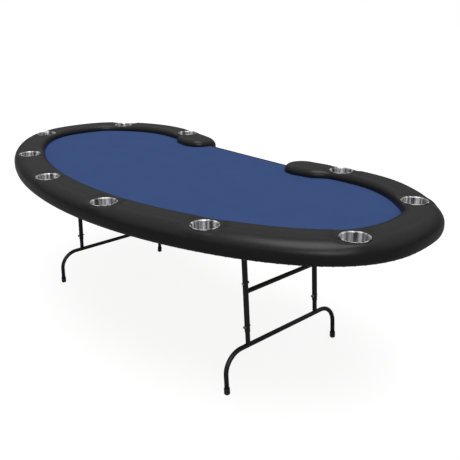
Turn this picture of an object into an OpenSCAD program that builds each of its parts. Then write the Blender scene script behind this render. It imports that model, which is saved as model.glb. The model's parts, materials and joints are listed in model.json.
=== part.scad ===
// Poker table with a padded rail, a dealer's cut-out and two folding leg sets.
// Origin on the floor under the middle of the table, +X along its length,
// the dealer's side at +Y. Millimetres. Left is -X and front is -Y.

/* [Table top] */
// Length of the top over the rail, end to end
top_length = 2438; // [2000:2:2900]
// Reach of the players' side in front of the widest line
front_reach = 671; // [560:1:780]
// Reach of the dealer's side behind the widest line
back_reach = 421; // [370:1:480]
// Height of the top of the rail above the floor
top_height = 746; // [700:1:800]
// Height of the outer side of the rail
rail_side = 87; // [80:1:110]
// How far the rail stands above the playing cloth
rail_rise = 35.5; // [30:0.5:48]
// Width of the rail
rail_width = 150; // [140:1:175]
// Rounding along the rail's upper edges
rail_round = 24; // [12:1:26]
// How much wider the rail is at its two ends by the dealer
end_bulge = 38; // [0:1:50]
// Half width of the gap between the rail ends
gap_half = 298; // [260:1:330]
// Distance from the middle of the top to the dealer's straight edge
dealer_edge_y = 459; // [430:1:480]

/* [Layers] */
// Thickness of the plywood deck
deck_thick = 18; // [15:0.5:22]
// Thickness of the foam pad under the cloth
pad_thick = 5.5; // [3:0.5:8]
// Thickness of the playing cloth
cloth_thick = 1.5; // [1:0.1:2]
// Thickness of the rail's plywood core
rail_board_thick = 12; // [9:0.5:14]
// Thickness of the vinyl cover
vinyl_thick = 1.5; // [1:0.1:2]
// Thickness of the apron under the deck
apron_thick = 12; // [9:0.5:18]
// Foam between the vinyl and the wood round the outer side
side_foam = 14; // [10:0.5:18]
// Thickness of the trim on the dealer's straight edge
trim_thick = 2; // [1:0.5:3]

/* [Cup holders] */
// Diameter of the cup's flange
cup_flange_d = 104; // [98:0.5:108]
// Outer diameter of the cup's tub
cup_tub_d = 92; // [80:0.5:94]
// Depth of the cup from its rim
cup_depth = 62; // [50:0.5:66]
// How far the cup's rim lies below the top of the rail
cup_sink = 10; // [6:0.5:12]
// Thickness of the cup's steel
cup_wall = 0.8; // [0.6:0.1:1.2]

/* [Legs] */
// Distance of the leg pivots from the middle of the table
pivot_x = 634; // [580:1:680]
// Drop of the pivot below the deck
pivot_drop = 17; // [16:0.5:19]
// Angle that the legs splay outwards
leg_splay = 4; // [2:0.5:6]
// Distance of a leg set's middle line behind the middle of the table
leg_y = 39; // [0:1:60]
// Half the distance between a leg set's two uprights
upright_y = 200; // [160:1:240]
// Half the distance between a leg set's two feet
foot_y = 322; // [290:1:360]
// Outer diameter of the upper tubes
upper_tube_d = 22; // [20:0.5:25]
// Wall of the upper tubes
upper_tube_wall = 1.2; // [1:0.1:1.2]
// Outer diameter of the telescoping tubes and the foot tube
lower_tube_d = 19; // [16:0.5:19]
// Wall of the telescoping tubes
lower_tube_wall = 1.2; // [1:0.1:1.5]
// Distance from the pivot down to the stop bolt
stop_bolt_at = 236; // [225:1:245]
// Distance from the pivot down to the crossbar
crossbar_at = 272; // [262:1:290]
// Distance from the pivot down to the lower end of the upper tube
upper_tube_length = 443; // [436:1:460]
// Distance from the pivot down to the height lock pin
lock_pin_at = 420; // [410:1:425]
// Spacing of the height holes
height_step = 25; // [20:1:25]
// Number of steps that the foot can be pulled out by
height_steps = 6; // [3:1:6]
// Height of the foot tube's level bar above the floor
foot_bar_z = 168; // [150:1:175]
// Bend radius of the foot tube on its middle line
foot_bend = 85; // [60:1:90]
// Diameter of the pivot bolts
pivot_bolt_d = 8; // [6:0.5:10]
// Diameter of the stop bolts and of the height lock pins
pin_d = 6; // [5:0.5:7]
// Radial clearance of a pin or a bolt that something turns or slides on
run_gap = 0.05; // [0.03:0.01:0.09]
// Thickness of the bracket's sheet steel
bracket_thick = 2.5; // [2:0.1:2.6]
// Outer diameter of the rubber foot caps
cap_d = 24; // [22.5:0.5:28]

/* [Hidden] */
$fn = 64;
cup_names = ["cup_holder_01", "cup_holder_02", "cup_holder_03", "cup_holder_04", "cup_holder_05",
    "cup_holder_06", "cup_holder_07", "cup_holder_08", "cup_holder_09", "cup_holder_10"];
side_names = ["left", "right"];
row_names = ["front", "back"];
leg_pieces = ["upper_tube", "foot_post", "foot_cap", "height_pin", "leg_bracket"];
leg_singles = ["crossbar", "foot_tube", "stop_bolts", "pivot_bolts"];

// Heights of the layers
rail_z0 = top_height - rail_side;
cloth_z = top_height - rail_rise;
deck_z1 = cloth_z - cloth_thick - pad_thick;
deck_z0 = deck_z1 - deck_thick;
cup_z = top_height - cup_sink;
rail_board_z1 = cloth_z + rail_board_thick;
lip_gap = 0.7; // between the vinyl's inner edge and the cloth
fit_gap = 0.1; // between layers that lie round one another
wide_gap = 0.3; // between faces of pieces that move past each other
cup_gap = 1; // round a cup's tub in the wood and foam

// The outline of the top, for an angle t from 0 to 360
outline_x = 0.52859 * top_length;
outline_x3 = -0.0541;
front_y = 0.9321 * front_reach;
back_y = 1.2744 * back_reach;
outline_y0 = (front_reach - back_reach) / 2 - 43;
gap_angle = 90 - gap_half / 20.52;

function unit(v) = v / norm(v);
function smooth(u) = let (c = max(0, min(1, u))) c * c * (3 - 2 * c);
function outline(t) = [
    outline_x * (cos(t) + outline_x3 * cos(3 * t)),
    outline_y0 + (sin(t) < 0
        ? front_y * (sin(t) - 0.0633 * sin(3 * t) + 0.0099 * sin(5 * t))
        : back_y * (sin(t) + 0.126 * sin(3 * t) - 0.0491 * sin(5 * t) + 0.0394 * sin(7 * t)))];
function inward(t) = let (d = unit(outline(t + 0.5) - outline(t - 0.5))) [-d.y, d.x];
function inset(t, d) = outline(t) + d * inward(t);

// The rail in plan: out along its outer edge, round the left end, back along the
// inner edge and round the right end
bulge_x = [gap_half + 140, gap_half + 240];
function rail_width_at(t) = rail_width + (sin(t) > 0 ? end_bulge : 0)
    * smooth((bulge_x[1] - abs(outline(t).x)) / (bulge_x[1] - bulge_x[0]));
rail_steps = 56;
rail_angles = [for (i = [0:rail_steps]) gap_angle - i * (180 + 2 * gap_angle) / rail_steps];
end_steps = 10;
function rail_end(t, turn) = let (
    n = inward(t),
    r = rail_width_at(t) / 2,
    middle = outline(t) + r * n,
    away = turn * [n.y, -n.x])
    [for (i = [1:end_steps - 1]) let (a = 180 * i / end_steps)
        middle - r * cos(a) * n + r * sin(a) * away];
function backwards(list) = [for (i = [len(list) - 1:-1:0]) list[i]];
left_end = rail_end(rail_angles[rail_steps], -1);
right_end = rail_end(rail_angles[0], 1);
rail_plan = concat(
    [for (t = rail_angles) outline(t)],
    left_end,
    backwards([for (t = rail_angles) inset(t, rail_width_at(t))]),
    backwards(right_end));
rail_n = len(rail_plan);
rail_in = [for (i = [0:rail_n - 1]) let (
    d = unit(rail_plan[(i + 1) % rail_n] - rail_plan[(i + rail_n - 1) % rail_n])) [d.y, -d.x]];
// 0 along the outer edge, 1 along the inner edge, and rising to 1 over the first part of each end
end_rise = 2.5;
inner_share = concat(
    [for (t = rail_angles) 0],
    [for (i = [1:end_steps - 1]) smooth(end_rise * i / end_steps)],
    [for (t = rail_angles) 1],
    [for (i = [1:end_steps - 1]) smooth(end_rise * (1 - i / end_steps))]);

// A ring of points round the rail, d inside its plan; z may differ at the inner edge
function rail_ring(d, z_outer, z_inner) = [for (i = [0:rail_n - 1]) let (p = rail_plan[i] + d * rail_in[i])
    [p.x, p.y, z_outer + (z_inner - z_outer) * inner_share[i]]];
function level_ring(d, z) = rail_ring(d, z, z);
// Rings over the rounded upper edge of the rail, for a skin that lies d inside the cover
edge_steps = 3;
function edge_rings(d) = [for (i = [0:edge_steps]) let (a = 90 * i / edge_steps, r = rail_round - d)
    level_ring(d + r * (1 - cos(a)), top_height - rail_round + r * sin(a))];

// A closed solid through a chain of rings, with a flat cap on the first and the last
module ring_solid(rings) {
    n = len(rings[0]);
    m = len(rings);
    points = [for (r = rings, p = r) p];
    sides = [for (k = [0:m - 2], i = [0:n - 1], half = [0, 1]) let (j = (i + 1) % n, a = k * n)
        half == 0 ? [a + i, a + j, a + n + j] : [a + i, a + n + j, a + n + i]];
    first = [for (i = [n - 1:-1:0]) i];
    last = [for (i = [0:n - 1]) (m - 1) * n + i];
    polyhedron(points = points, faces = concat(sides, [first, last]));
}

// The top's plan, d inside its edge, with the dealer's straight edge across the gap
apron_in = side_foam + 2 * vinyl_thick;
cut_half = inset(gap_angle, apron_in).x;
module top_plan(d) {
    edge_y = dealer_edge_y - trim_thick;
    end_x = inset(gap_angle, d).x;
    polygon(concat([for (t = rail_angles) inset(t, d)], [[-end_x, edge_y], [end_x, edge_y]]));
}
module plan_band(d_out, d_in) {
    polygon(concat([for (t = rail_angles) inset(t, d_out)],
        backwards([for (t = rail_angles) inset(t, d_in)])));
}

// Places of the cup holders, as outline angles and distances off the rail's middle: five on each side
cup_angles = [-80.6, -60, -23.7, 35.3, 68];
cup_shifts = [-6, 2, 0, 12, -2];
cup_places = [for (side = [1, -1], i = [0:4])
    let (p = inset(cup_angles[i], rail_width / 2 + cup_shifts[i])) [side * p.x, p.y]];
module at_cups() {
    for (p = cup_places)
        translate([p.x, p.y, 0]) children();
}
module cup_holes() {
    at_cups() translate([0, 0, rail_z0]) cylinder(d = cup_tub_d + 2 * cup_gap, h = rail_side + 1);
}

// Places of the rail bolts, as outline angles
bolt_angles = [-90, -65, -38, -8, 18, 52];
bolt_d = 6;
module at_rail_bolts() {
    for (side = [1, -1], t = bolt_angles)
        if (!(side < 0 && t == -90)) {
            p = inset(t, rail_width / 2);
            translate([side * p.x, p.y, 0]) children();
        }
}
bolt_bite = 8;
module bolt_holes() {
    at_rail_bolts() translate([0, 0, deck_z0 - 1]) cylinder(d = bolt_d + 0.4, h = cloth_z + bolt_bite + 1.5 - deck_z0);
}

module playing_cloth() {
    color("#3d5485") difference() {
        translate([0, 0, cloth_z - cloth_thick]) linear_extrude(cloth_thick) top_plan(26);
        cup_holes();
        bolt_holes();
    }
}

module cloth_pad() {
    color("#d9d4c4") difference() {
        translate([0, 0, deck_z1]) linear_extrude(pad_thick) top_plan(26);
        cup_holes();
        bolt_holes();
    }
}

module deck_board() {
    color("#c9a878") difference() {
        translate([0, 0, deck_z0]) linear_extrude(deck_thick) top_plan(apron_in);
        cup_holes();
        bolt_holes();
        for (side = [0, 1], row = [0, 1])
            at_bracket(side, row) at_bracket_screws()
                translate([0, 0, -1]) cylinder(d = screw_d + 0.1, h = screw_length);
    }
}

apron_z0 = rail_z0 + vinyl_thick + fit_gap;
module apron_ring() {
    color("#b3925f") difference() {
        translate([0, 0, apron_z0]) linear_extrude(deck_z0 - apron_z0)
            plan_band(apron_in, apron_in + apron_thick);
        cup_holes();
    }
}

dealer_apron_back = 8; // behind the trim
module dealer_apron() {
    color("#b3925f")
        translate([-cut_half, dealer_edge_y - trim_thick - dealer_apron_back - apron_thick, apron_z0])
            cube([2 * cut_half, apron_thick, deck_z0 - apron_z0]);
}

module dealer_edge_trim() {
    color("#17171a") translate([-cut_half, dealer_edge_y - trim_thick, deck_z0])
        cube([2 * cut_half, trim_thick, cloth_z - deck_z0]);
}

board_in = side_foam + 11;
module rail_board() {
    color("#c9a878") difference() {
        translate([0, 0, cloth_z]) linear_extrude(rail_board_thick)
            polygon([for (p = level_ring(board_in, 0)) [p.x, p.y]]);
        cup_holes();
        bolt_holes();
    }
}

// The soft rail pieces and their cup holes are cut as one mesh
module soft_shape() {
    resize([0, 0, 0]) difference() {
        children(0);
        children(1);
    }
}
module cup_recesses() {
    at_cups() translate([0, 0, cup_z - cup_wall])
        cylinder(d = cup_flange_d + 2 * cup_gap, h = rail_rise, $fn = 36);
}

foam_in = vinyl_thick + fit_gap;
module rail_foam() {
    color("#e6e0cf") soft_shape() {
        ring_solid(concat(
            [level_ring(board_in - fit_gap, rail_board_z1 + fit_gap),
             level_ring(board_in - fit_gap, cloth_z + lip_gap),
             level_ring(foam_in, cloth_z + lip_gap)],
            edge_rings(foam_in)));
        union() {
            cup_holes($fn = 36);
            cup_recesses();
        }
    }
}

module rail_side_foam() {
    color("#e6e0cf") translate([0, 0, apron_z0]) linear_extrude(cloth_z - apron_z0)
        plan_band(foam_in, apron_in - fit_gap);
}

module rail_cover() {
    color("#1b1b1e") soft_shape() {
        ring_solid(concat(
            backwards(edge_rings(vinyl_thick)),
            [rail_ring(vinyl_thick, rail_z0, cloth_z + lip_gap),
             rail_ring(0, rail_z0, cloth_z + lip_gap)],
            edge_rings(0)));
        cup_recesses();
    }
}

module rail_bolts() {
    color("silver") at_rail_bolts() {
        translate([0, 0, deck_z0]) cylinder(d = bolt_d, h = cloth_z + bolt_bite - deck_z0);
        translate([0, 0, deck_z0 - 3]) cylinder(d = 2 * bolt_d, h = 3);
    }
}

module cup_holder(place) {
    flat_r = cup_flange_d / 2;
    tub_r = cup_tub_d / 2;
    base_round = 6;
    color("#c8cacc") translate([place.x, place.y, cup_z]) rotate_extrude() difference() {
        union() {
            translate([0, -cup_wall]) square([flat_r, cup_wall]);
            translate([0, -cup_depth]) square([tub_r - base_round, cup_depth]);
            translate([0, base_round - cup_depth]) square([tub_r, cup_depth - base_round]);
            translate([tub_r - base_round, base_round - cup_depth]) circle(base_round);
        }
        translate([-flat_r, -cup_depth - 1]) square([flat_r, cup_depth + 2]);
        union() {
            translate([-1, cup_wall - cup_depth]) square([tub_r - base_round + 1, cup_depth]);
            translate([-1, base_round - cup_depth]) square([tub_r - cup_wall + 1, cup_depth]);
            translate([tub_r - base_round, base_round - cup_depth]) circle(base_round - cup_wall);
        }
    }
}

// Legs. Each set is drawn hanging straight down from its pivot, then splayed
pivot_z = deck_z0 - pivot_drop;
function side_sign(side) = side == 0 ? -1 : 1;
function row_sign(row) = row == 0 ? -1 : 1;
module at_leg(side) {
    translate([side_sign(side) * pivot_x, leg_y, pivot_z])
        rotate([0, -side_sign(side) * leg_splay, 0]) children();
}
// Distances down the leg from the pivot, for heights above the floor
function down_to(z) = (pivot_z - z) / cos(leg_splay);
foot_bar_at = down_to(foot_bar_z);
floor_at = down_to(0);
upper_bore_d = upper_tube_d - 2 * upper_tube_wall;
// The cross tubes are cut back by this much from the tube they are welded to
weld_gap = 0.05;

module along_y(d, length) {
    rotate([90, 0, 0]) cylinder(d = d, h = length, center = true);
}

module upper_tube(side, row) {
    color("#1f2023") at_leg(side) translate([0, row_sign(row) * upright_y, 0]) difference() {
        intersection() {
            translate([0, 0, -upper_tube_length]) cylinder(d = upper_tube_d, h = upper_tube_length + upper_tube_d);
            union() {
                along_y(upper_tube_d + 0.4, 2 * upper_tube_d);
                translate([-upper_tube_d, -upper_tube_d, -2 * upper_tube_length])
                    cube([2 * upper_tube_d, 2 * upper_tube_d, 2 * upper_tube_length]);
            }
        }
        translate([0, 0, -upper_tube_length - 1]) cylinder(d = upper_bore_d, h = upper_tube_length + upper_tube_d);
        along_y(pivot_bolt_d + 2 * run_gap, 2 * upper_tube_d);
        translate([0, 0, -stop_bolt_at]) along_y(pin_d + 2 * run_gap, 2 * upper_tube_d);
        translate([0, 0, -lock_pin_at]) along_y(pin_d + 2 * run_gap, 2 * upper_tube_d);
    }
}

module crossbar(side) {
    color("#1f2023") at_leg(side) translate([0, 0, -crossbar_at]) difference() {
        along_y(lower_tube_d, 2 * upright_y - 8);
        along_y(lower_tube_d - 2 * lower_tube_wall, 2 * upright_y);
        for (row = [0, 1])
            translate([0, row_sign(row) * upright_y, -lower_tube_d])
                cylinder(d = upper_tube_d + 2 * weld_gap, h = 2 * lower_tube_d);
    }
}

module stop_bolts(side) {
    color("silver") at_leg(side) for (row = [0, 1])
        translate([0, row_sign(row) * upright_y, -stop_bolt_at]) {
            along_y(pin_d, upper_tube_d + 8);
            // the nut is on the inner side, the head on the outer side
            translate([0, -row_sign(row) * (upper_tube_d / 2 + 2.5), 0]) along_y(11, 5);
            translate([0, row_sign(row) * (upper_tube_d / 2 + 1.75), 0]) along_y(10, 3.5);
        }
}

post_top_at = stop_bolt_at + pin_d / 2 + 0.2;
module foot_post(side, row) {
    color("#1f2023") at_leg(side) translate([0, row_sign(row) * upright_y, 0]) difference() {
        translate([0, 0, -foot_bar_at + 3]) cylinder(d = lower_tube_d, h = foot_bar_at - post_top_at - 3);
        translate([0, 0, -foot_bar_at]) cylinder(d = lower_tube_d - 2 * lower_tube_wall, h = foot_bar_at);
        translate([0, 0, -foot_bar_at]) along_y(lower_tube_d + 2 * weld_gap, 2 * lower_tube_d);
        for (step = [0:height_steps])
            translate([0, 0, step * height_step - lock_pin_at]) along_y(pin_d + 2 * run_gap, 2 * lower_tube_d);
    }
}

tube_end_at = floor_at - 5;
bend_z = -foot_bar_at - foot_bend;
tube_sides = 24;
bend_steps = 6;
// Stations along the foot tube as [y, z, angle of the outer side of the bend]
foot_stations = concat(
    [[-foot_y, -tube_end_at, 180]],
    [for (s = [-1, 1], i = [0:bend_steps]) let (a = (s < 0 ? 180 : 90) - 90 * i / bend_steps)
        [s * (foot_y - foot_bend) + foot_bend * cos(a), bend_z + foot_bend * sin(a), a]],
    [[foot_y, -tube_end_at, 0]]);
function foot_rings(r) = [for (p = foot_stations) [for (i = [0:tube_sides - 1]) let (b = 360 * i / tube_sides)
    [r * cos(b), p[0] + r * sin(b) * cos(p[2]), p[1] + r * sin(b) * sin(p[2])]]];
module foot_tube(side) {
    rings = concat(foot_rings(lower_tube_d / 2), backwards(foot_rings(lower_tube_d / 2 - lower_tube_wall)));
    m = len(rings);
    color("#1f2023") at_leg(side) polyhedron(
        points = [for (r = rings, p = r) p],
        faces = [for (k = [0:m - 1], i = [0:tube_sides - 1], half = [0, 1])
            let (j = (i + 1) % tube_sides, a = k * tube_sides, b = (k + 1) % m * tube_sides)
            half == 0 ? [a + i, b + j, a + j] : [a + i, b + i, b + j]]);
}

cap_height = 30;
module foot_cap(side, row) {
    color("#18181a") difference() {
        at_leg(side) translate([0, row_sign(row) * foot_y, -floor_at - 2]) difference() {
            union() {
                translate([0, 0, cap_d / 4]) cylinder(d = cap_d, h = cap_height - cap_d / 4);
                cylinder(d1 = cap_d / 2, d2 = cap_d, h = cap_d / 4);
            }
            translate([0, 0, 2 + floor_at - tube_end_at]) cylinder(d = lower_tube_d, h = cap_height);
        }
        translate([-top_length, -top_length, -top_height]) cube([2 * top_length, 2 * top_length, top_height]);
    }
}

pin_grip = 6;
module height_pin(side, row) {
    color("#26262a") at_leg(side) translate([0, row_sign(row) * upright_y, -lock_pin_at]) {
        translate([0, 2, 0]) along_y(pin_d, upper_tube_d + 6);
        translate([0, -upper_tube_d / 2 - wide_gap - pin_grip / 2, 0]) along_y(12, pin_grip);
    }
}

// A folded steel bracket: a base under the deck, two cheeks and a back that stops the leg
cheek_y = upper_tube_d / 2 + wide_gap;
bracket_x = 44;
bracket_y = 62;
cheek_drop = 14;
screw_d = 4;
screw_length = 14;
module at_bracket(side, row) {
    translate([side_sign(side) * pivot_x, leg_y + row_sign(row) * upright_y, deck_z0]) children();
}
module at_bracket_screws() {
    for (x = [-1, 1], y = [-1, 1])
        translate([x * 14, y * 23, 0]) children();
}
module leg_bracket(side, row) {
    stop_x = (upper_tube_d / 2) / cos(leg_splay) + cheek_drop * tan(leg_splay) + wide_gap;
    color("#2a2b2e") at_bracket(side, row) difference() {
        union() {
            translate([-bracket_x / 2, -bracket_y / 2, -bracket_thick]) cube([bracket_x, bracket_y, bracket_thick]);
            for (s = [-1, 1])
                translate([-18, s > 0 ? cheek_y : -cheek_y - bracket_thick, -pivot_drop - cheek_drop])
                    cube([36, bracket_thick, pivot_drop + cheek_drop]);
            translate([side_sign(side) > 0 ? stop_x : -stop_x - bracket_thick, -cheek_y - 1,
                    -pivot_drop - cheek_drop])
                cube([bracket_thick, 2 * cheek_y + 2, cheek_drop - 2]);
        }
        translate([0, 0, -pivot_drop]) along_y(pivot_bolt_d + 2 * run_gap, bracket_y);
        at_bracket_screws() translate([0, 0, -bracket_thick - 1]) cylinder(d = screw_d + 0.6, h = bracket_thick + 2);
    }
}

module pivot_bolts(side) {
    bolt_half = cheek_y + bracket_thick;
    color("silver") for (row = [0, 1])
        at_bracket(side, row) translate([0, 0, -pivot_drop]) {
            along_y(pivot_bolt_d, 2 * bolt_half + 14);
            for (s = [-1, 1])
                translate([0, s * (bolt_half + 2.6), 0]) along_y(13, 5);
        }
}

module bracket_screws() {
    color("silver") for (side = [0, 1], row = [0, 1])
        at_bracket(side, row) at_bracket_screws() {
            translate([0, 0, -bracket_thick]) cylinder(d = screw_d, h = bracket_thick + 10);
            translate([0, 0, -bracket_thick - 2]) cylinder(d = 8, h = 2);
        }
}

playing_cloth();
cloth_pad();
deck_board();
apron_ring();
dealer_apron();
dealer_edge_trim();
rail_board();
rail_foam();
rail_side_foam();
rail_cover();
rail_bolts();
bracket_screws();
for (i = [0:len(cup_names) - 1])
    cup_holder(cup_places[i]);
for (side = [0, 1]) {
    crossbar(side);
    foot_tube(side);
    stop_bolts(side);
    pivot_bolts(side);
    for (row = [0, 1]) {
        name_end = str("_", row_names[row]);
        upper_tube(side, row);
        foot_post(side, row);
        foot_cap(side, row);
        height_pin(side, row);
        leg_bracket(side, row);
    }
}
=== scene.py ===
# %% [markdown]
# # A folding-leg poker table
# The frame holds every part at its real place and size, in metres. This notebook gives the parts
# their finishes and makes the soft and rounded pieces again with more detail: the stuffed rail,
# the stretched cloth, the cup holders, the bent foot tubes and the edge trim.

# %% Load the frame
import json
import math

import bmesh
import bpy
import numpy as np
from mathutils import Matrix, Vector, geometry


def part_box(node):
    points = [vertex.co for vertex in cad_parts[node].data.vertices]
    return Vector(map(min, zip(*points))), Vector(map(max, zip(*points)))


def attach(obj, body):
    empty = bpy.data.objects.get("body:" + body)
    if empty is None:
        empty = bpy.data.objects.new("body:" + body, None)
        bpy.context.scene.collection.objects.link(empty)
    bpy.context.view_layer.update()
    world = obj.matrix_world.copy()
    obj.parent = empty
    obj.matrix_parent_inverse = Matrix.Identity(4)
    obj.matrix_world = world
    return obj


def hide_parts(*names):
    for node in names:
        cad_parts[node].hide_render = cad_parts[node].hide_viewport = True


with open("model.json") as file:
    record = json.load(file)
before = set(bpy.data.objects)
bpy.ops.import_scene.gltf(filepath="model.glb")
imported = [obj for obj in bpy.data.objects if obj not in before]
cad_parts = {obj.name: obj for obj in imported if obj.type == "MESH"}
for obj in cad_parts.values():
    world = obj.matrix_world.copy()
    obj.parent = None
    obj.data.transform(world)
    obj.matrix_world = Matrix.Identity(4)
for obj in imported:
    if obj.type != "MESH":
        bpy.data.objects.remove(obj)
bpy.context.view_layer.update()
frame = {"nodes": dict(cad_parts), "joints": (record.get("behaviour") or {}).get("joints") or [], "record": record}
scene = bpy.context.scene

# %% [markdown]
# ## The camera
# It comes first, because a view is easiest to judge from a fixed place. Three axes say how the
# camera is turned: right, up and back. The lens is a moderate telephoto.

# %% Camera
CAMERA_PLACE = (2.1556, -1.5735, 1.4370)
CAMERA_RIGHT = (0.6638, 0.7479, -0.00414)
CAMERA_BACK = (0.6983, -0.61778, 0.36157)
LENS = 46.76
LENS_SHIFT = (0.00165, 0.0077)


def make_camera():
    back = Vector(CAMERA_BACK).normalized()
    right = Vector(CAMERA_RIGHT)
    right = (right - right.dot(back) * back).normalized()
    up = back.cross(right)
    camera = bpy.data.objects.new("camera", bpy.data.cameras.new("camera"))
    camera.data.lens = LENS
    camera.data.shift_x, camera.data.shift_y = LENS_SHIFT
    turn = Matrix((right, up, back)).transposed().to_4x4()
    camera.matrix_world = Matrix.Translation(CAMERA_PLACE) @ turn
    scene.collection.objects.link(camera)
    scene.camera = camera


make_camera()
print("camera", CAMERA_PLACE)

# %% [markdown]
# ## Shader expressions
# A finish is a small sum, such as a base colour plus a little noise. Writing that with nodes takes
# many lines, so a `Value` wraps one socket and turns + - * into Math nodes. `Finish.node` adds
# any other node: its settings first, then its sockets.


# %% Shader helpers
class Value:
    def __init__(self, finish, socket):
        self.finish = finish
        self.socket = socket

    def math(self, operation, first, second, clamp=False):
        settings = {"operation": operation, "use_clamp": clamp}
        return self.finish.node("ShaderNodeMath", settings, {0: first, 1: second})

    def clamped(self):
        return self.math("ADD", self, 0.0, clamp=True)

    def __add__(self, other):
        return self.math("ADD", self, other)

    def __sub__(self, other):
        return self.math("SUBTRACT", self, other)

    def __mul__(self, other):
        return self.math("MULTIPLY", self, other)

    def __rsub__(self, other):
        return self.math("SUBTRACT", other, self)

    __radd__ = __add__
    __rmul__ = __mul__


class Finish:
    def __init__(self, name, colour, roughness, metallic=0.0, specular=0.5, sheen=0.0):
        self.material = bpy.data.materials.new(name)
        self.material.use_nodes = True
        self.tree = self.material.node_tree
        self.shader = self.tree.nodes["Principled BSDF"]
        self.set("Base Color", (*colour, 1.0))
        self.set("Roughness", roughness)
        self.set("Metallic", metallic)
        self.set("Specular IOR Level", specular)
        self.set("Sheen Weight", sheen)
        self.place = self.node("ShaderNodeTexCoord", out="Object")

    def node(self, kind, settings=None, inputs=None, out=0):
        made = self.tree.nodes.new(kind)
        for key, value in (settings or {}).items():
            setattr(made, key, value)
        for key, value in (inputs or {}).items():
            self.join(value, made.inputs[key])
        return Value(self, made.outputs[out])

    def join(self, value, socket):
        if isinstance(value, Value):
            self.tree.links.new(value.socket, socket)
        else:
            socket.default_value = value

    def set(self, name, value):
        self.join(value, self.shader.inputs[name])

    def noise(self, scale, detail=2.0, place=None, roughness=0.5):
        place = place or self.place
        inputs = {"Vector": place, "Scale": scale, "Detail": detail, "Roughness": roughness}
        return self.node("ShaderNodeTexNoise", {}, inputs)

    def cells(self, scale, place=None):
        inputs = {"Vector": place or self.place, "Scale": scale}
        return self.node("ShaderNodeTexVoronoi", {}, inputs)

    def stretched(self, scale, place=None):
        settings = {"operation": "MULTIPLY"}
        return self.node("ShaderNodeVectorMath", settings, {0: place or self.place, 1: scale})

    def blend(self, factor, low, high):
        settings = {"data_type": "RGBA"}
        inputs = {"Factor": factor, 6: (*low, 1.0), 7: (*high, 1.0)}
        return self.node("ShaderNodeMix", settings, inputs, out=2)

    def bump(self, height, strength, distance):
        inputs = {"Height": height, "Strength": strength, "Distance": distance}
        self.set("Normal", self.node("ShaderNodeBump", {}, inputs))


# %% [markdown]
# ## Finishes
# The rail is embossed vinyl: nearly black, satin, with a fine pebble grain and slow changes of
# gloss where hands rest. The cloth is a short wool-like felt, so it is rough, has a little sheen
# and mottles softly. Wood, foam, steel and rubber get their own grain at their own scale.


# %% Vinyl, cloth and foam
def vinyl_finish():
    f = Finish("embossed_vinyl", (0.012, 0.012, 0.0125), 0.4, specular=0.32)
    gloss = f.noise(7.0, 3.0)
    pebbles = f.cells(700.0)
    creases = f.noise(24.0, 4.0)
    f.set("Roughness", gloss * 0.14 + 0.25)
    tone = f.blend(f.noise(60.0, 4.0), (0.0075, 0.0075, 0.008), (0.0145, 0.0145, 0.015))
    f.set("Base Color", tone)
    f.bump(pebbles * 0.22 + creases * 0.8, 0.35, 0.0008)
    return f.material


def felt_finish():
    f = Finish("blue_felt", (0.042, 0.080, 0.215), 0.95, specular=0.05, sheen=0.02)
    fibres = f.noise(950.0, 3.0, roughness=0.7)
    weave = f.cells(520.0, f.stretched((1.0, 1.6, 1.0)))
    mottle = f.noise(9.0, 5.0)
    shade = fibres * 0.5 + mottle * 0.35 + weave * 0.25
    f.set("Base Color", f.blend(shade, (0.031, 0.062, 0.178), (0.052, 0.094, 0.243)))
    f.bump(fibres + weave * 0.5, 0.4, 0.0006)
    return f.material


def foam_finish():
    f = Finish("open_cell_foam", (0.75, 0.7, 0.58), 0.9, specular=0.2)
    cells = f.cells(650.0)
    f.set("Base Color", f.blend(cells, (0.55, 0.50, 0.39), (0.80, 0.75, 0.63)))
    f.bump(cells, 0.5, 0.0008)
    return f.material


VINYL = vinyl_finish()
FELT = felt_finish()
FOAM = foam_finish()


# %% Wood, steel, rubber and plastic
def plywood_finish():
    f = Finish("birch_plywood", (0.5, 0.36, 0.2), 0.62, specular=0.35)
    grain = f.noise(9.0, 6.0, f.stretched((1.0, 16.0, 1.0)))
    settings = {"wave_type": "BANDS", "bands_direction": "Z"}
    inputs = {"Vector": f.place, "Scale": 110.0, "Distortion": 0.6}
    plies = f.node("ShaderNodeTexWave", settings, inputs)
    tone = f.blend(grain * 0.75 + plies * 0.25, (0.36, 0.23, 0.11), (0.62, 0.46, 0.28))
    f.set("Base Color", tone)
    f.bump(grain, 0.25, 0.0006)
    return f.material


def steel_finish():
    f = Finish("brushed_stainless", (0.72, 0.73, 0.74), 0.2, metallic=1.0)
    round_cup = f.node("ShaderNodeUVMap", {"uv_map": "turned"})
    across = f.stretched((1.0, 0.0, 0.0), round_cup)
    # Broad vertical bands round each cup swing the colour from dark to near white and lower the metallic: painted
    # reflection bands. The fine noise adds the real brush lines.
    reflection_bands = f.noise(13.0, 2.0, across, 0.6)
    fine = f.noise(90.0, 2.0, across)
    bands_and_brush_lines = (reflection_bands * 6.0 - 2.6 + fine * 0.2).clamped()
    f.set("Base Color", f.blend(bands_and_brush_lines, (0.22, 0.22, 0.23), (0.93, 0.93, 0.94)))
    f.set("Metallic", 1.0 - bands_and_brush_lines * 0.6)
    f.set("Roughness", fine * 0.16 + 0.22)
    return f.material


def coated_finish(name, colour, roughness, grain, strength):
    f = Finish(name, colour, roughness, specular=0.45)
    peel = f.noise(grain, 3.0)
    rub = f.noise(30.0, 4.0)
    darker, lighter = (tuple(share * c for c in colour) for share in (0.8, 1.5))
    f.set("Base Color", f.blend(rub, darker, lighter))
    f.set("Roughness", rub * 0.2 + (roughness - 0.1))
    f.bump(peel, strength, 0.0004)
    return f.material


def zinc_finish():
    f = Finish("zinc_plating", (0.55, 0.56, 0.57), 0.34, metallic=1.0)
    spangle = f.cells(300.0)
    f.set("Base Color", f.blend(spangle, (0.46, 0.47, 0.49), (0.66, 0.67, 0.68)))
    f.set("Roughness", spangle * 0.2 + 0.26)
    f.bump(f.noise(700.0), 0.15, 0.0003)
    return f.material


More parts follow.
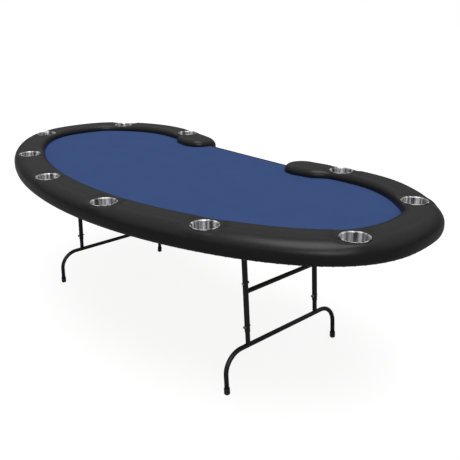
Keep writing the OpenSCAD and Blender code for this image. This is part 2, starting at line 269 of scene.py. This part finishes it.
PLYWOOD = plywood_finish()
STEEL = steel_finish()
ZINC = zinc_finish()
POWDER = coated_finish("black_powder_coat", (0.013, 0.013, 0.014), 0.36, 900.0, 0.25)
RUBBER = coated_finish("black_rubber", (0.018, 0.018, 0.018), 0.72, 500.0, 0.4)
TRIM = coated_finish("black_edge_moulding", (0.010, 0.010, 0.011), 0.5, 300.0, 0.12)

SLOT_FINISHES = {
    "vinyl_black": VINYL,
    "felt_blue": FELT,
    "foam_cream": FOAM,
    "plywood": PLYWOOD,
    "stainless_steel": STEEL,
    "zinc_steel": ZINC,
    "powder_black": POWDER,
    "rubber_black": RUBBER,
    "trim_black": TRIM,
}


def finish_frame_nodes():
    slots = {s["node"]: s["material_slot"] for s in frame["record"]["subparts"]}
    for name, piece in frame["nodes"].items():
        piece.data.materials.clear()
        piece.data.materials.append(SLOT_FINISHES[slots[name]])
    print("finished", len(slots), "frame nodes")


finish_frame_nodes()

# %% [markdown]
# ## The table's outline
# The top is an egg-like oval with a pinch on the dealer's side. One angle runs round it: x is a
# stretched cosine, and y a sum of sines that differs between the players' front and the back. Every
# soft piece is placed by its distance in from this line, measured square to it.

# %% Outline
TOP_LOW, TOP_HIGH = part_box("rail_cover")
RAIL_TOP = TOP_HIGH[2]
RAIL_BOTTOM = TOP_LOW[2]
CLOTH_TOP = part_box("playing_cloth")[1][2]
RAIL_WIDTH = 0.150
END_BULGE = 0.038
BULGE_X = (0.438, 0.538)
GAP_ANGLE = 90.0 - 298.0 / 20.52  # where the rail's ends are, for a gap of 298 mm each way
DEALER_EDGE = 0.457
OUTLINE_X = 0.52859 * 2.438
FRONT_Y = 0.9321 * 0.671
BACK_Y = 1.2744 * 0.421
WIDEST_Y = 0.082
END_TERM = -0.0541  # makes the two ends blunter
FRONT_TERMS = ((1, 1.0), (3, -0.0633), (5, 0.0099))  # how many waves, how high
BACK_TERMS = ((1, 1.0), (3, 0.126), (5, -0.0491), (7, 0.0394))


def smooth(u):
    u = np.clip(u, 0.0, 1.0)
    return u * u * (3.0 - 2.0 * u)


def outline(angle):
    t = np.radians(angle)
    front = sum(share * np.sin(n * t) for n, share in FRONT_TERMS)
    back = sum(share * np.sin(n * t) for n, share in BACK_TERMS)
    y = WIDEST_Y + np.where(np.sin(t) < 0, FRONT_Y * front, BACK_Y * back)
    return np.stack([OUTLINE_X * (np.cos(t) + END_TERM * np.cos(3 * t)), y], -1)


def inward(angle):
    along = outline(angle + 0.25) - outline(angle - 0.25)
    along /= np.linalg.norm(along, axis=-1, keepdims=True)
    return np.stack([-along[..., 1], along[..., 0]], -1)


def inset(angle, distance):
    return outline(angle) + np.asarray(distance)[..., None] * inward(angle)


def rail_width(angle):
    share = smooth((BULGE_X[1] - np.abs(outline(angle)[..., 0])) / (BULGE_X[1] - BULGE_X[0]))
    return RAIL_WIDTH + END_BULGE * np.where(np.sin(np.radians(angle)) > 0, share, 0.0)


CUP_NODES = sorted(n for n in frame["nodes"] if n.startswith("cup_holder_"))


def cup_place(node):
    low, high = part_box(node)
    return ((low[0] + high[0]) / 2, (low[1] + high[1]) / 2)


CUP_PLACES = np.array([cup_place(n) for n in CUP_NODES])
CUP_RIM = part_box(CUP_NODES[0])[1][2]
print("rail top", round(RAIL_TOP, 4), "cloth", round(CLOTH_TOP, 4), "cups", len(CUP_PLACES))

# %% [markdown]
# ## The stuffed rail
# On the real table a strip of foam is glued over a plywood ring, and vinyl is pulled over it and
# stapled underneath. The skin rounds over both edges, sags a little along the middle, and dips to
# each cup holder, whose flange clamps it down. A grid of points does this well: one direction runs
# along the rail, the other across it, and the height is a function of the distance to the edge.
# At both rail ends the rows close in a half circle. A cloth simulation would drift away from the
# cups and the cloth line, so the pull of the skin is given by formulas instead.

# %% Rail: the shape across
SHOULDER_OUT = (0.072, 0.050)  # how far in and how far down the outer shoulder rounds
SHOULDER_IN = (0.030, 0.030)
ROLL_OUT = 0.024  # rounding under the outer side
ROLL_IN = 0.005
HEM_WIDTH = 0.010  # how far the vinyl turns in underneath
HEM_LIFT = 0.0004
LIP_Z = CLOTH_TOP + 0.0006
SKIN = 0.0015
DIMPLE_R = 0.052
DIMPLE_REACH = 0.040
DIMPLE_Z = CUP_RIM - 0.0012
CROWN_SAG = 0.0018
CROWN_REACH = 0.035
RIPPLE = 0.0005
HOLE_R = 0.0490
HOLE_CUT = 0.0445  # points nearer than this to a cup's middle are cut away
SHOULDER_ROWS = 10
MIDDLE_ROWS = 17


def pulled_to_cups(z, edge, point):
    """The height z with the skin drawn down to each cup holder's flange."""
    for cup in CUP_PLACES:
        r = np.linalg.norm(point - cup, axis=-1)
        pull = 1.0 - smooth((r - DIMPLE_R) / DIMPLE_REACH)
        pull = pull * smooth((edge - 0.003) / 0.017)
        z = z + (DIMPLE_Z - z) * pull
    return z


def rail_height(edge, share, point):
    """Height of the skin: edge is the distance to the rail's edge, share 0 outside and 1 inside."""
    reach = SHOULDER_OUT[0] + (SHOULDER_IN[0] - SHOULDER_OUT[0]) * share
    drop = SHOULDER_OUT[1] + (SHOULDER_IN[1] - SHOULDER_OUT[1]) * share
    u = np.clip(1.0 - edge / reach, 0.0, 1.0)
    z = RAIL_TOP - drop * (1.0 - np.sqrt(1.0 - u * u))
    z = z - CROWN_SAG * smooth((edge - reach * 0.8) / CROWN_REACH)
    x, y = point[..., 0], point[..., 1]
    wave = np.sin(9.0 * x + 5.0 * y) * np.sin(13.0 * y - 4.0 * x)
    z = z + RIPPLE * wave * smooth(edge / 0.03)
    return pulled_to_cups(z, edge, point)


def shoulder_edges(reach):
    a = np.linspace(0.0, math.pi / 2, SHOULDER_ROWS)
    return reach * (1.0 - np.cos(a))


def across(width):
    """Offsets from the rail's middle, from -1 at the outer edge to 1 at the inner edge."""
    half = width / 2
    outer = -1.0 + shoulder_edges(SHOULDER_OUT[0]) / half
    inner = 1.0 - shoulder_edges(SHOULDER_IN[0]) / half
    middle = np.linspace(outer[-1], inner[-1], MIDDLE_ROWS + 2)[1:-1]
    return np.concatenate([outer, middle, inner[::-1]])


# %% Rail: the grid
RAIL_STATIONS = 1120
END_STATIONS = 16


def distance_along(points):
    steps = np.linalg.norm(np.diff(points, axis=0), axis=1)
    return np.concatenate([[0.0], np.cumsum(steps)])


def main_stations():
    """Outline angles that are evenly spaced along the rail's middle line."""
    fine = np.linspace(GAP_ANGLE, -180.0 - GAP_ANGLE, 6001)
    run = distance_along(inset(fine, rail_width(fine) / 2))
    return np.interp(np.linspace(0.0, run[-1], RAIL_STATIONS), run, fine)


def end_stations(angle, toward_gap):
    """Rows that close one end of the rail: middle, inward, ahead, half width and how far round."""
    angle = np.array(angle)
    n = inward(angle)
    half = float(rail_width(angle)) / 2
    middle = outline(angle) + half * n
    ahead = toward_gap * np.array([n[1], -n[0]])
    flat_part = np.linspace(0.0, 1.0 - SHOULDER_IN[0] / half, END_STATIONS)[1:]
    rounded = 1.0 - shoulder_edges(SHOULDER_IN[0])[:-1][::-1] / half
    return [(middle, n, ahead, half, s) for s in np.concatenate([flat_part, rounded])]


def straight_station(angle):
    """The same for a row between the two ends."""
    angle = np.array(angle)
    half = rail_width(angle) / 2
    return inset(angle, half), inward(angle), np.zeros(2), float(half), 0.0


def rail_rows():
    first = end_stations(GAP_ANGLE, 1)
    last = end_stations(-180.0 - GAP_ANGLE, -1)
    return first[::-1] + [straight_station(t) for t in main_stations()] + last


def rolled_edge(corner, away, roll_share):
    """The hem and the rounding under one edge, up to just below the corner."""
    roll = ROLL_OUT + (ROLL_IN - ROLL_OUT) * roll_share
    base = RAIL_BOTTOM + (LIP_Z - RAIL_BOTTOM) * roll_share
    hem = corner - away * (roll + HEM_WIDTH * (1.0 - roll_share))
    part = [[*hem, base + HEM_LIFT]]
    for a in np.radians([90.0, 60.0, 30.0, 0.0]):
        flat = corner - away * roll * (1.0 - math.cos(a))
        part.append([*flat, base + roll * (1.0 - math.sin(a))])
    return part


def rail_row(middle, n, ahead, half, lead):
    """Points from under the outer side, over the top and down to the cloth."""
    side = math.sqrt(max(0.0, 1.0 - lead * lead))
    o = across(2 * half)
    lateral = half * side * o
    top = middle + lateral[:, None] * n + half * lead * ahead
    edge = half - np.sqrt((half * lead) ** 2 + lateral**2)
    share = smooth(0.5 + 0.5 * o * side + 0.2 * lead)
    z = rail_height(np.maximum(edge, 0.0), share, top)
    outer, inner = (rolled_edge(top[k], (top[k] - middle) / half, share[k]) for k in (0, -1))
    return np.array(outer + list(np.column_stack([top, z])) + inner[::-1])


def rail_points():
    grid = np.array([rail_row(*row) for row in rail_rows()])
    for cup in CUP_PLACES:
        away = grid[..., :2] - cup
        r = np.linalg.norm(away, axis=-1)
        near = (r > HOLE_CUT) & (r < HOLE_R)
        grid[near, :2] = (cup + away / np.maximum(r, 1e-9)[..., None] * HOLE_R)[near]
    return grid


def grid_faces(grid):
    inside = np.zeros(grid.shape[:2], bool)
    for cup in CUP_PLACES:
        high = grid[..., 2] > CLOTH_TOP + 0.01
        inside |= (np.linalg.norm(grid[..., :2] - cup, axis=-1) <= HOLE_CUT) & high
    stations, rows = grid.shape[:2]
    faces = []
    for i in range(stations - 1):
        for j in range(rows - 1):
            if inside[i : i + 2, j : j + 2].any():
                continue
            a = i * rows + j
            faces.append((a, a + 1, a + rows + 1, a + rows))
    return faces


# %% Rail: mesh, skin thickness and smoothing
def add_mesh(name, points, faces, material, merge=0.0):
    """A mesh object at the origin; doubles within merge metres become one point."""
    mesh = bpy.data.meshes.new(name)
    mesh.from_pydata([tuple(p) for p in points], [], faces)
    bm = bmesh.new()
    bm.from_mesh(mesh)
    if merge:
        bmesh.ops.remove_doubles(bm, verts=bm.verts, dist=merge)
    loose = [v for v in bm.verts if not v.link_faces]
    bmesh.ops.delete(bm, geom=loose, context="VERTS")
    bm.to_mesh(mesh)
    bm.free()
    mesh.polygons.foreach_set("use_smooth", [True] * len(mesh.polygons))
    mesh.materials.append(material)
    made = bpy.data.objects.new(name, mesh)
    scene.collection.objects.link(made)
    return made


def swept_faces(stations, around):
    """Faces between closed sections of `around` points each, one after the other."""
    return [(i * around + k, (i + 1) * around + k,
             (i + 1) * around + (k + 1) % around, i * around + (k + 1) % around)
            for i in range(stations - 1) for k in range(around)]


def applied(piece):
    """Applies the piece's modifiers to its mesh."""
    graph = bpy.context.evaluated_depsgraph_get()
    mesh = bpy.data.meshes.new_from_object(piece.evaluated_get(graph))
    piece.modifiers.clear()
    piece.data = mesh
    return piece


def make_rail():
    grid = rail_points()
    rail = add_mesh("stuffed_rail", grid.reshape(-1, 3), grid_faces(grid), VINYL, merge=0.0002)
    wall = rail.modifiers.new("skin", "SOLIDIFY")
    wall.thickness = SKIN
    wall.offset = -1.0
    applied(rail)
    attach(rail, "table_top")
    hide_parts("rail_cover", "rail_foam", "rail_side_foam")
    print("rail", len(rail.data.vertices), "points")


make_rail()

# %% [markdown]
# ## The playing cloth
# The felt is one cut sheet, stretched flat over the pad and clamped by the rail. Its edge runs
# under the rail's inner lip, and on the dealer's side it ends on a straight edge.

# %% Cloth
CLOTH_INSET = 0.1375
CLOTH_HALF_GAP = 0.42
CLOTH_END_X = 0.335
CLOTH_THICK = 0.0015


def cloth_outline():
    angles = np.arange(0.0, 360.0, 2.0)
    edge = inset(angles, np.full(len(angles), CLOTH_INSET))
    back = (np.sin(np.radians(angles)) > 0) & (np.abs(edge[:, 0]) < CLOTH_HALF_GAP)
    first = int(np.argmax(back))
    straight = [(x, DEALER_EDGE) for x in np.linspace(CLOTH_END_X, -CLOTH_END_X, 21)]
    rest = edge[first:][~back[first:]]
    return [tuple(p) for p in edge[:first]] + straight + [tuple(p) for p in rest]


def facing_up(face, points):
    a, b, c = (points[k] for k in face)
    return face if (b - a).cross(c - a).z > 0 else face[::-1]


def make_cloth():
    edge = cloth_outline()
    rim = [Vector((x, y, CLOTH_TOP)) for x, y in edge]
    count = len(edge)
    points = rim + [p - Vector((0, 0, CLOTH_THICK)) for p in rim]
    faces = [facing_up(tuple(t), points) for t in geometry.tessellate_polygon([rim])]
    under = [tuple(k + count for k in reversed(t)) for t in faces]
    sides = [(k + count, (k + 1) % count + count, (k + 1) % count, k) for k in range(count)]
    cloth = add_mesh("stretched_felt", points, faces + under + sides, FELT)
    cloth.data.polygons.foreach_set("use_smooth", [False] * len(cloth.data.polygons))
    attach(cloth, "table_top")
    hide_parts("playing_cloth")


make_cloth()

# %% [markdown]
# ## The dealer's edge
# Where there is no rail, the deck's edge is closed by a black moulding with a rounded face, pushed
# into a groove. It stands a little above the cloth, so the eye sees it as a dark line.

# %% Edge moulding
MOULDING_STEPS = 12
MOULDING_STANDS = 0.0035  # how far it stands above the cloth
MOULDING_BACK = 0.0016
MOULDING_BULGE = 0.0032


def moulding_profile(low, top):
    """The section across the moulding, as y and z: a flat inner side and a round outer one."""
    half = (top - low[2]) / 2
    profile = [(low[1], low[2])]
    for a in np.linspace(-90.0, 90.0, MOULDING_STEPS):
        bulge = math.cos(math.radians(a)) ** 0.5 if abs(a) < 90 else 0.0
        y = low[1] + MOULDING_BACK + MOULDING_BULGE * bulge
        profile.append((y, low[2] + half + half * math.sin(math.radians(a))))
    return profile + [(low[1], top)]


def make_moulding():
    low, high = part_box("dealer_edge_trim")
    profile = moulding_profile(low, high[2] + MOULDING_STANDS)
    xs = np.linspace(low[0], high[0], 31)
    points = [(x, y, z) for x in xs for y, z in profile]
    n = len(profile)
    faces = swept_faces(len(xs), n)
    faces += [tuple(range(n)), tuple(reversed(range(len(points) - n, len(points))))]
    moulding = add_mesh("edge_moulding", points, faces, TRIM)
    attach(moulding, "table_top")
    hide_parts("dealer_edge_trim")


make_moulding()

# %% [markdown]
# ## The cup holders
# Each cup is pressed from one disc of stainless steel: a flat base, a straight wall and a rolled
# flange that rests on the vinyl. One cup is turned from a profile, and Geometry Nodes set a copy on
# each of the ten places with its own turn, so that its painted reflection bands and brush lines differ.

# %% Cup: one turned piece
CUP_FLANGE = 0.0525
CUP_TUB = 0.0458
CUP_BASE = -0.0612
CUP_SHEET = 0.0008
CUP_LIP = 0.0052  # rounding between the flange and the wall
CUP_ROLL = 0.0012  # rolled rim
CUP_FOOT = 0.006  # rounding between the wall and the base
CUP_PANEL_RISE = 0.0008
CUP_SEGMENTS = 96


def cup_profile():
    roll = [(CUP_FLANGE - CUP_ROLL + CUP_ROLL * math.cos(a), 0.0001 + CUP_ROLL * math.sin(a))
            for a in np.radians(np.linspace(-80, 90, 7))]
    neck = [(CUP_TUB + CUP_LIP - CUP_LIP * math.sin(a), 0.0013 - CUP_LIP + CUP_LIP * math.cos(a))
            for a in np.radians(np.linspace(0, 90, 8))]
    foot = [(CUP_TUB - CUP_FOOT + CUP_FOOT * math.cos(a), CUP_BASE + CUP_FOOT - CUP_FOOT * math.sin(a))
            for a in np.radians(np.linspace(0, 90, 7))]
    raised = CUP_BASE + CUP_PANEL_RISE
    return roll + neck + foot + [(0.030, CUP_BASE), (0.028, raised), (0.0, raised)]


def make_one_cup():
    profile = cup_profile()
    n = len(profile)
    points = [(r * math.cos(a), r * math.sin(a), z)
              for a in np.linspace(0, 2 * math.pi, CUP_SEGMENTS, endpoint=False) for r, z in profile]
    faces = []
    corners = []
    for i in range(CUP_SEGMENTS):
        k = (i + 1) % CUP_SEGMENTS
        for j in range(n - 1):
            faces.append((i * n + j, i * n + j + 1, k * n + j + 1, k * n + j))
            corners += [(i, j), (i, j + 1), (i + 1, j + 1), (i + 1, j)]
    mesh = bpy.data.meshes.new("one_cup")
    mesh.from_pydata(points, [], faces)
    turned = mesh.uv_layers.new(name="turned")
    for loop, (i, j) in enumerate(corners):
        turned.data[loop].uv = (i / CUP_SEGMENTS, j / n)
    bm = bmesh.new()
    bm.from_mesh(mesh)
    bmesh.ops.remove_doubles(bm, verts=bm.verts, dist=1e-6)
    bmesh.ops.recalc_face_normals(bm, faces=bm.faces)
    centre_face = min(bm.faces, key=lambda f: f.calc_center_median().xy.length)
    if centre_face.normal.z < 0:
        bmesh.ops.reverse_faces(bm, faces=bm.faces)
    bm.to_mesh(mesh)
    bm.free()
    mesh.polygons.foreach_set("use_smooth", [True] * len(mesh.polygons))
    cup = bpy.data.objects.new("one_cup", mesh)
    wall = cup.modifiers.new("sheet", "SOLIDIFY")
    wall.thickness = CUP_SHEET
    wall.offset = -1.0
    scene.collection.objects.link(cup)
    return applied(cup)


# %% Cup: the tree that places the copies
def add_input(tree, name, kind, default=None):
    item = tree.interface.new_socket(name, in_out="INPUT", socket_type=kind)
    if default is not None:
        item.default_value = default
    return item


def copies_tree(name):
    """Sets a copy of a shape on every point, turned at random, and gives it a material."""
    tree = bpy.data.node_groups.new(name, "GeometryNodeTree")
    add_input(tree, "Places", "NodeSocketGeometry")
    add_input(tree, "Shape", "NodeSocketObject")
    add_input(tree, "Turn", "NodeSocketFloat", 2 * math.pi)
    add_input(tree, "Seed", "NodeSocketInt", 4)
    add_input(tree, "Finish", "NodeSocketMaterial")
    tree.interface.new_socket("Copies", in_out="OUTPUT", socket_type="NodeSocketGeometry")
    nodes = tree.nodes
    start = nodes.new("NodeGroupInput").outputs
    shape = nodes.new("GeometryNodeObjectInfo")
    turn = nodes.new("FunctionNodeRandomValue")
    angles = nodes.new("ShaderNodeCombineXYZ")
    place = nodes.new("GeometryNodeInstanceOnPoints")
    real = nodes.new("GeometryNodeRealizeInstances")
    finish = nodes.new("GeometryNodeSetMaterial")
    end = nodes.new("NodeGroupOutput").inputs
    join = tree.links.new
    join(start["Shape"], shape.inputs["Object"])
    join(start["Turn"], turn.inputs[3])
    join(start["Seed"], turn.inputs["Seed"])
    join(turn.outputs[1], angles.inputs["Z"])
    join(start["Places"], place.inputs["Points"])
    join(shape.outputs["Geometry"], place.inputs["Instance"])
    join(angles.outputs[0], place.inputs["Rotation"])
    join(place.outputs[0], real.inputs[0])
    join(real.outputs[0], finish.inputs["Geometry"])
    join(start["Finish"], finish.inputs["Material"])
    join(finish.outputs[0], end[0])
    return tree


def placed_copies(name, places, shape, finish, turn, seed=4):
    """A mesh object with a copy of shape on each place."""
    tree = copies_tree(name + "_tree")
    piece = add_mesh_points(name, places)
    modifier = piece.modifiers.new("copies", "NODES")
    modifier.node_group = tree
    values = {"Shape": shape, "Turn": turn, "Seed": seed, "Finish": finish}
    for item in tree.interface.items_tree:
        if item.in_out == "INPUT" and item.name in values:
            modifier[item.identifier] = values[item.name]
    applied(piece)
    bpy.data.objects.remove(shape)
    return piece


def add_mesh_points(name, places):
    mesh = bpy.data.meshes.new(name)
    mesh.from_pydata([tuple(p) for p in places], [], [])
    piece = bpy.data.objects.new(name, mesh)
    scene.collection.objects.link(piece)
    return piece


def make_cups():
    places = [(x, y, CUP_RIM + 0.0002) for x, y in CUP_PLACES]
    cups = placed_copies("steel_cups", places, make_one_cup(), STEEL, 2 * math.pi)
    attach(cups, "table_top")
    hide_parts(*CUP_NODES)
    print("cups", len(cups.data.polygons), "faces")


make_cups()

# %% [markdown]
# ## The bent foot tubes
# A foot is one steel tube with two bends, so a round section swept along a path is the natural way.
# The path lies in the leg's own plane, which leans outward by the splay of the legs.

# %% Foot tubes
SPLAY = math.radians(4.0)
TUBE_R = 0.0095
FOOT_BEND = 0.085
TUBE_SIDES = 32
BEND_STEPS = 18


def make_foot_tube(side):
    sign = -1 if side == "left" else 1
    low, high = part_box(side + "_foot_tube")
    middle_y = (low[1] + high[1]) / 2
    half = (high[1] - low[1]) / 2 - TUBE_R
    hinge = next(j for j in frame["joints"] if j["name"] == side + "_leg_fold")
    pivot = Vector(hinge["pos_m"])
    down = Vector((sign * math.sin(SPLAY), 0.0, -math.cos(SPLAY)))
    outward = Vector((math.cos(SPLAY), 0.0, sign * math.sin(SPLAY)))
    bar_at = (pivot.z - (high[2] - TUBE_R)) / math.cos(SPLAY)
    end_at = (pivot.z - low[2]) / math.cos(SPLAY) - 0.0005
    stations = [(-half, end_at, 180.0)]
    for s in (-1, 1):
        for i in range(BEND_STEPS + 1):
            a = (180.0 if s < 0 else 90.0) - 90.0 * i / BEND_STEPS
            c = math.radians(a)
            stations.append((s * (half - FOOT_BEND) + FOOT_BEND * math.cos(c),
                             bar_at + FOOT_BEND - FOOT_BEND * math.sin(c), a))
    stations.append((half, end_at, 0.0))
    points = []
    for y, distance, a in stations:
        centre = Vector((pivot.x, middle_y, pivot.z)) + down * distance + Vector((0, y, 0))
        normal = Vector((0, 1, 0)) * math.cos(math.radians(a)) - down * math.sin(math.radians(a))
        for k in range(TUBE_SIDES):
            b = 2 * math.pi * k / TUBE_SIDES
            points.append(centre + TUBE_R * (math.cos(b) * outward + math.sin(b) * normal))
    n = TUBE_SIDES
    faces = swept_faces(len(stations), n)
    faces += [tuple(reversed(range(n))), tuple(range(len(points) - n, len(points)))]
    tube = add_mesh(side + "_bent_tube", points, faces, POWDER)
    bm = bmesh.new()
    bm.from_mesh(tube.data)
    bmesh.ops.recalc_face_normals(bm, faces=bm.faces)
    bm.to_mesh(tube.data)
    bm.free()
    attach(tube, side + "_foot")
    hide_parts(side + "_foot_tube")


for leg_side in ("left", "right"):
    make_foot_tube(leg_side)

# %% [markdown]
# ## Staples
# Underneath, the vinyl's hem is stapled to the apron. The same Geometry Nodes tree as for the cups
# sets a small bent wire every few centimetres. They lie across the hem, hidden from above.

# %% Staples
STAPLE_SPACING = 0.035
STAPLE_INSET = 0.019


def make_one_staple():
    wire, half, sink = 0.0004, 0.0055, 0.001
    bpy.ops.mesh.primitive_cube_add(size=1.0)
    staple = bpy.context.object
    staple.data.transform(Matrix.Diagonal((2 * half, 2 * wire, sink, 1.0)))
    bevel = staple.modifiers.new("round", "BEVEL")
    bevel.width = wire * 0.6
    bevel.segments = 2
    return applied(staple)


def make_staples():
    angles = main_stations()
    hem = inset(angles, np.full(len(angles), STAPLE_INSET))
    run = distance_along(hem)
    spots = np.arange(0.05, run[-1] - 0.05, STAPLE_SPACING)
    places = [(np.interp(s, run, hem[:, 0]), np.interp(s, run, hem[:, 1]), RAIL_BOTTOM - 0.0001)
              for s in spots]
    staples = placed_copies("hem_staples", places, make_one_staple(), ZINC, 0.8, seed=9)
    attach(staples, "table_top")
    print("staples", len(places))


make_staples()

# %% [markdown]
# ## Floor and light
# Black vinyl shows whatever it reflects. A broad sun overhead and a weaker one in front draw the
# soft highlight on the rail's shoulder. The sky is dark at the horizon, which keeps the rail's level
# top dark, and bright above, which the steel cups show. To the camera, the sky is white and the
# floor shines, so that the ground stays pale and the tubes stand out clearly.

# %% Studio
SKY_LIGHT = 0.62
SKY_STOPS = ((0.0, 0.12), (0.25, 0.25), (0.6, 0.8), (1.0, 1.0))  # sine of the height, share
SUNS = (  # name, strength, width in degrees, direction
    ("overhead", 1.3, 40.0, (-0.15, 0.12, -1.0)),
    ("front", 0.6, 26.0, (-0.715, 0.521, -0.469)),
)
FLOOR_GLOW = 0.86
FLOOR_TONE = 0.22
FLOOR_HALF = 30.0


def make_floor():
    h = FLOOR_HALF
    mesh = bpy.data.meshes.new("studio_floor")
    mesh.from_pydata([(-h, -h, 0), (h, -h, 0), (h, h, 0), (-h, h, 0)], [], [(0, 1, 2, 3)])
    floor = bpy.data.objects.new("studio_floor", mesh)
    paint = Finish("studio_paint", (FLOOR_TONE, FLOOR_TONE, FLOOR_TONE), 0.9, specular=0.1)
    paint.set("Emission Color", (1.0, 1.0, 1.0, 1.0))
    paint.set("Emission Strength", paint.node("ShaderNodeLightPath") * FLOOR_GLOW)
    mesh.materials.append(paint.material)
    scene.collection.objects.link(floor)


def ramp_stops(ramp, count):
    while len(ramp.elements) < count:
        ramp.elements.new(0.5)
    return list(ramp.elements)


def make_light():
    world = bpy.data.worlds.new("studio")
    world.use_nodes = True
    sky = world.node_tree.nodes["Background"].inputs
    sky["Color"].default_value = (1.0, 1.0, 1.0, 1.0)
    nodes, join = world.node_tree.nodes, world.node_tree.links.new
    direction = nodes.new("ShaderNodeTexCoord")
    height = nodes.new("ShaderNodeSeparateXYZ")
    share = nodes.new("ShaderNodeValToRGB")
    for stop, (place, light) in zip(ramp_stops(share.color_ramp, len(SKY_STOPS)), SKY_STOPS):
        stop.position = place
        stop.color = (light, light, light, 1.0)
    band = nodes.new("ShaderNodeMath")
    band.operation = "MULTIPLY"
    band.inputs[1].default_value = SKY_LIGHT
    path = nodes.new("ShaderNodeLightPath")
    seen = nodes.new("ShaderNodeMapRange")
    seen.inputs["To Max"].default_value = 1.0
    join(direction.outputs["Generated"], height.inputs[0])
    join(height.outputs["Z"], share.inputs[0])
    join(share.outputs["Color"], band.inputs[0])
    join(path.outputs["Is Camera Ray"], seen.inputs["Value"])
    join(band.outputs[0], seen.inputs["To Min"])
    join(seen.outputs["Result"], sky["Strength"])
    scene.world = world
    for name, strength, width, direction in SUNS:
        lamp = bpy.data.lights.new(name, "SUN")
        lamp.energy = strength
        lamp.angle = math.radians(width)
        holder = bpy.data.objects.new(name, lamp)
        holder.rotation_euler = Vector(direction).to_track_quat("-Z", "Y").to_euler()
        scene.collection.objects.link(holder)
    scene.view_settings.view_transform = "Standard"


make_floor()
make_light()
